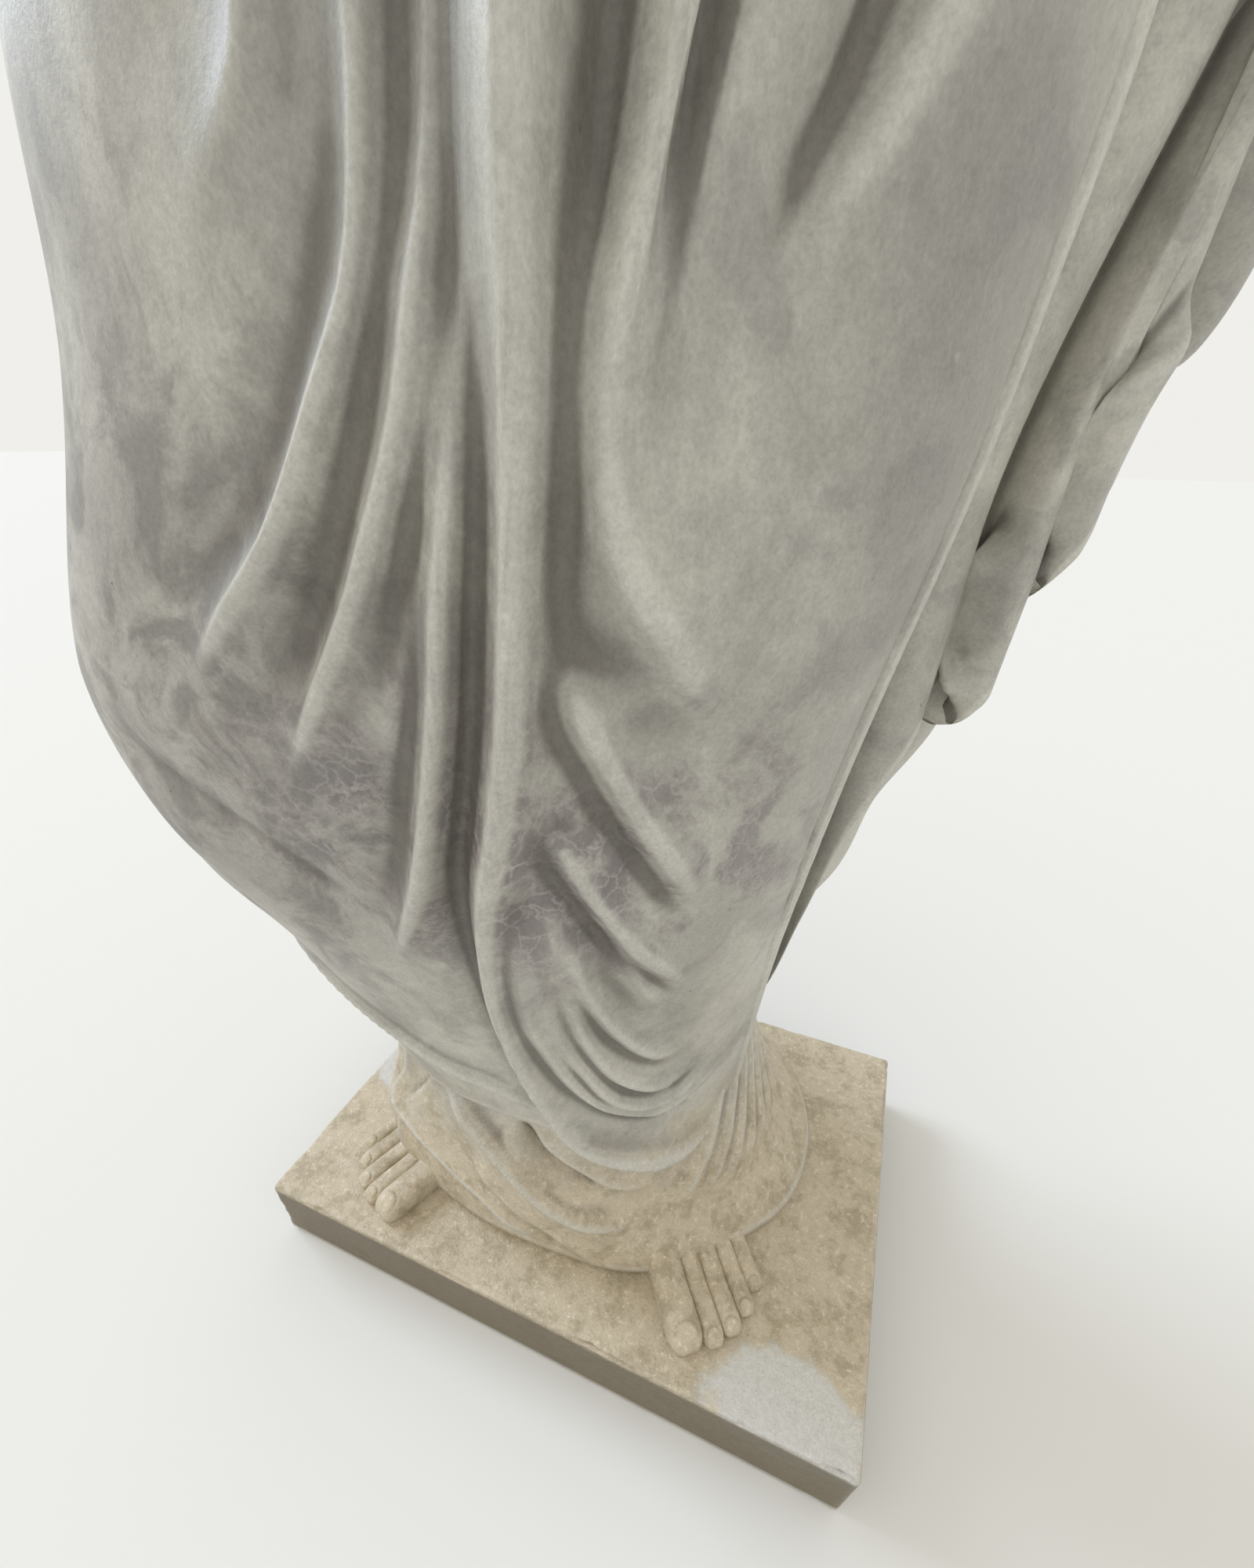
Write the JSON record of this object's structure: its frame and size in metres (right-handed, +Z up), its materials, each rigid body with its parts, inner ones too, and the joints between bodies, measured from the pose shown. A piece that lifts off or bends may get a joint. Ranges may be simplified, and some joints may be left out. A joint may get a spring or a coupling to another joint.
{
  "type": "angel statue",
  "caption": "Life-size marble angel standing on a low rectangular plinth, hands joined in prayer, in a pleated mantle over a long tunic, with folded wings.",
  "frame": {"origin": "middle of the plinth's flat underside", "axes": "+Z up, the figure looks along -Y, its left side is towards +X"},
  "size_m": [0.6922, 0.5429, 1.821],
  "materials": {
    "marble": "grey-white veined marble, honed, stained warm beige on the plinth and the tunic's hem"
  },
  "bodies": {
    "root": {"angel_with_plinth": "marble", "left_wing": "marble", "right_wing": "marble"}
  },
  "joints": []
}
